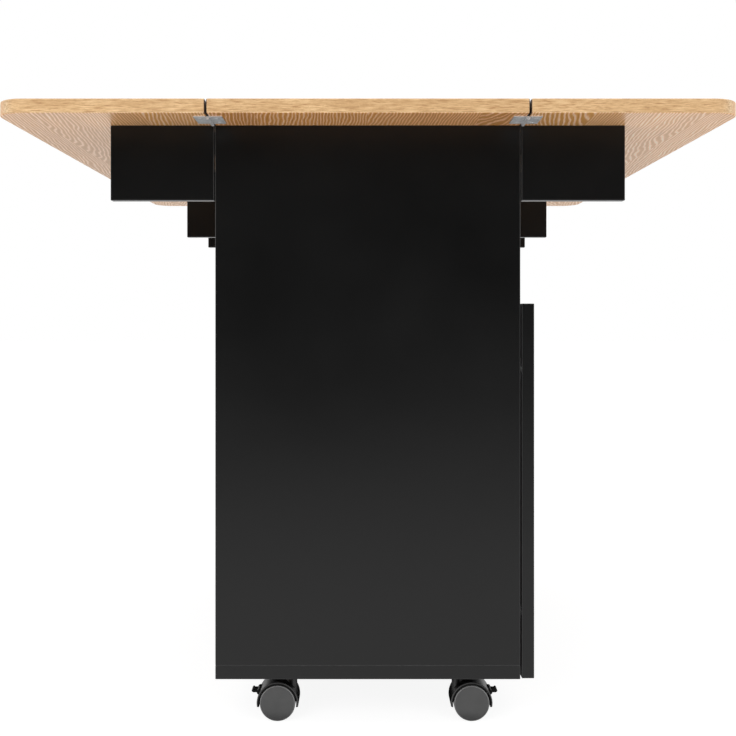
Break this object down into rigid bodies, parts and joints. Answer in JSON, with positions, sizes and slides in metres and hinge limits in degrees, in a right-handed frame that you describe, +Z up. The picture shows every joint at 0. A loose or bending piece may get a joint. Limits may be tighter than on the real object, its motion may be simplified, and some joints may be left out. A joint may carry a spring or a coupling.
{
  "type": "kitchen island",
  "caption": "Black kitchen island cabinet on braked twin-wheel casters, with an oak-look top whose hinged drop leaves rest on fold-out supports.",
  "frame": {"origin": "on the floor, under the middle of the top with both leaves raised", "axes": "+X towards the side with the doors, +Y along the island from the near end to the far end, +Z up"},
  "size_m": [1.022, 1.11, 0.887],
  "materials": {
    "oak_top": "satin",
    "black_board": "satin",
    "zinc_steel": "satin",
    "handle": "satin",
    "catch": "matte",
    "caster_hood": "gloss",
    "caster_wheel": "matte",
    "brake_lever": "gloss"
  },
  "bodies": {
    "cabinet": {"bottom_panel": "black_board", "cabinet_shelf": "black_board", "caster_inserts": "zinc_steel", "caster_stems": "zinc_steel", "centre_top": "oak_top", "door_catches": "catch", "door_hinge_arms": "zinc_steel", "far_back_panel": "black_board", "far_end_panel": "black_board", "far_niche_floor": "black_board", "lower_open_shelf": "black_board", "near_back_panel": "black_board", "near_end_panel": "black_board", "near_niche_floor": "black_board", "partition": "black_board", "shelf_pins": "zinc_steel", "support_hinge_pins": "zinc_steel", "support_hinge_plates": "zinc_steel", "top_hinge_pins": "zinc_steel", "top_hinge_plates": "zinc_steel", "top_rails": "black_board", "upper_open_shelf": "black_board"},
    "left_leaf_body": {"left_leaf": "oak_top", "left_leaf_hinge_plates": "zinc_steel"},
    "left_near_support_body": {"left_near_support": "black_board", "left_near_support_hinges": "zinc_steel"},
    "left_middle_support_body": {"left_middle_support": "black_board", "left_middle_support_hinges": "zinc_steel"},
    "left_far_support_body": {"left_far_support": "black_board", "left_far_support_hinges": "zinc_steel"},
    "right_leaf_body": {"right_leaf": "oak_top", "right_leaf_hinge_plates": "zinc_steel"},
    "right_near_support_body": {"right_near_support": "black_board", "right_near_support_hinges": "zinc_steel"},
    "right_middle_support_body": {"right_middle_support": "black_board", "right_middle_support_hinges": "zinc_steel"},
    "right_far_support_body": {"right_far_support": "black_board", "right_far_support_hinges": "zinc_steel"},
    "near_door_body": {"near_door": "black_board", "near_door_hinge_cups": "zinc_steel", "near_door_hinge_pins": "zinc_steel", "near_door_handle": "handle"},
    "far_door_body": {"far_door": "black_board", "far_door_hinge_cups": "zinc_steel", "far_door_hinge_pins": "zinc_steel", "far_door_handle": "handle"},
    "near_left_caster_fork": {"near_left_caster_hood": "caster_hood"},
    "near_left_caster_wheel_pair": {"near_left_caster_wheels": "caster_wheel"},
    "near_left_caster_brake_body": {"near_left_caster_brake": "brake_lever"},
    "near_right_caster_fork": {"near_right_caster_hood": "caster_hood"},
    "near_right_caster_wheel_pair": {"near_right_caster_wheels": "caster_wheel"},
    "near_right_caster_brake_body": {"near_right_caster_brake": "brake_lever"},
    "far_left_caster_fork": {"far_left_caster_hood": "caster_hood"},
    "far_left_caster_wheel_pair": {"far_left_caster_wheels": "caster_wheel"},
    "far_left_caster_brake_body": {"far_left_caster_brake": "brake_lever"},
    "far_right_caster_fork": {"far_right_caster_hood": "caster_hood"},
    "far_right_caster_wheel_pair": {"far_right_caster_wheels": "caster_wheel"},
    "far_right_caster_brake_body": {"far_right_caster_brake": "brake_lever"}
  },
  "joints": [
    {"name": "left_leaf_lift", "type": "hinge", "parent": "cabinet", "child": "left_leaf_body", "pos_m": [-0.221, 0, 0.8645], "axis": [0, -1, 0], "range_deg": [-4.5, 0]},
    {"name": "left_near_support_fold", "type": "hinge", "parent": "cabinet", "child": "left_near_support_body", "pos_m": [-0.2223, -0.4505, 0.8127], "axis": [0, 0, -1], "range_deg": [0, 90]},
    {"name": "left_middle_support_fold", "type": "hinge", "parent": "cabinet", "child": "left_middle_support_body", "pos_m": [-0.2223, 0.1655, 0.8127], "axis": [0, 0, 1], "range_deg": [0, 90]},
    {"name": "left_far_support_fold", "type": "hinge", "parent": "cabinet", "child": "left_far_support_body", "pos_m": [-0.2223, 0.4505, 0.8127], "axis": [0, 0, 1], "range_deg": [0, 90]},
    {"name": "right_leaf_lift", "type": "hinge", "parent": "cabinet", "child": "right_leaf_body", "pos_m": [0.221, 0, 0.8645], "axis": [0, 1, 0], "range_deg": [-4.5, 0]},
    {"name": "right_near_support_fold", "type": "hinge", "parent": "cabinet", "child": "right_near_support_body", "pos_m": [0.2223, -0.4505, 0.8127], "axis": [0, 0, 1], "range_deg": [0, 90]},
    {"name": "right_middle_support_fold", "type": "hinge", "parent": "cabinet", "child": "right_middle_support_body", "pos_m": [0.2223, 0.1655, 0.8127], "axis": [0, 0, -1], "range_deg": [0, 90]},
    {"name": "right_far_support_fold", "type": "hinge", "parent": "cabinet", "child": "right_far_support_body", "pos_m": [0.2223, 0.4505, 0.8127], "axis": [0, 0, -1], "range_deg": [0, 90]},
    {"name": "near_door_swing", "type": "hinge", "parent": "cabinet", "child": "near_door_body", "pos_m": [0.2307, -0.4605, 0.3395], "axis": [0, 0, -1], "range_deg": [0, 95]},
    {"name": "far_door_swing", "type": "hinge", "parent": "cabinet", "child": "far_door_body", "pos_m": [0.2307, 0.1785, 0.3395], "axis": [0, 0, 1], "range_deg": [0, 95]},
    {"name": "near_left_caster_swivel", "type": "hinge", "parent": "cabinet", "child": "near_left_caster_fork", "pos_m": [-0.113, -0.426, 0.059], "axis": [0, 0, 1], "continuous": true},
    {"name": "near_left_caster_roll", "type": "hinge", "parent": "near_left_caster_fork", "child": "near_left_caster_wheel_pair", "pos_m": [-0.132, -0.426, 0.026], "axis": [0, 1, 0], "continuous": true},
    {"name": "near_left_caster_brake_press", "type": "hinge", "parent": "near_left_caster_fork", "child": "near_left_caster_brake_body", "pos_m": [-0.15976, -0.426, 0.03866], "axis": [0, -1, 0], "range_deg": [0, 22]},
    {"name": "near_right_caster_swivel", "type": "hinge", "parent": "cabinet", "child": "near_right_caster_fork", "pos_m": [0.133, -0.426, 0.059], "axis": [0, 0, 1], "continuous": true},
    {"name": "near_right_caster_roll", "type": "hinge", "parent": "near_right_caster_fork", "child": "near_right_caster_wheel_pair", "pos_m": [0.152, -0.426, 0.026], "axis": [0, 1, 0], "continuous": true},
    {"name": "near_right_caster_brake_press", "type": "hinge", "parent": "near_right_caster_fork", "child": "near_right_caster_brake_body", "pos_m": [0.17975, -0.426, 0.03866], "axis": [0, 1, 0], "range_deg": [0, 22]},
    {"name": "far_left_caster_swivel", "type": "hinge", "parent": "cabinet", "child": "far_left_caster_fork", "pos_m": [-0.113, 0.426, 0.059], "axis": [0, 0, 1], "continuous": true},
    {"name": "far_left_caster_roll", "type": "hinge", "parent": "far_left_caster_fork", "child": "far_left_caster_wheel_pair", "pos_m": [-0.132, 0.426, 0.026], "axis": [0, 1, 0], "continuous": true},
    {"name": "far_left_caster_brake_press", "type": "hinge", "parent": "far_left_caster_fork", "child": "far_left_caster_brake_body", "pos_m": [-0.15976, 0.426, 0.03866], "axis": [0, -1, 0], "range_deg": [0, 22]},
    {"name": "far_right_caster_swivel", "type": "hinge", "parent": "cabinet", "child": "far_right_caster_fork", "pos_m": [0.133, 0.426, 0.059], "axis": [0, 0, 1], "continuous": true},
    {"name": "far_right_caster_roll", "type": "hinge", "parent": "far_right_caster_fork", "child": "far_right_caster_wheel_pair", "pos_m": [0.152, 0.426, 0.026], "axis": [0, 1, 0], "continuous": true},
    {"name": "far_right_caster_brake_press", "type": "hinge", "parent": "far_right_caster_fork", "child": "far_right_caster_brake_body", "pos_m": [0.17975, 0.426, 0.03866], "axis": [0, 1, 0], "range_deg": [0, 22]}
  ]
}
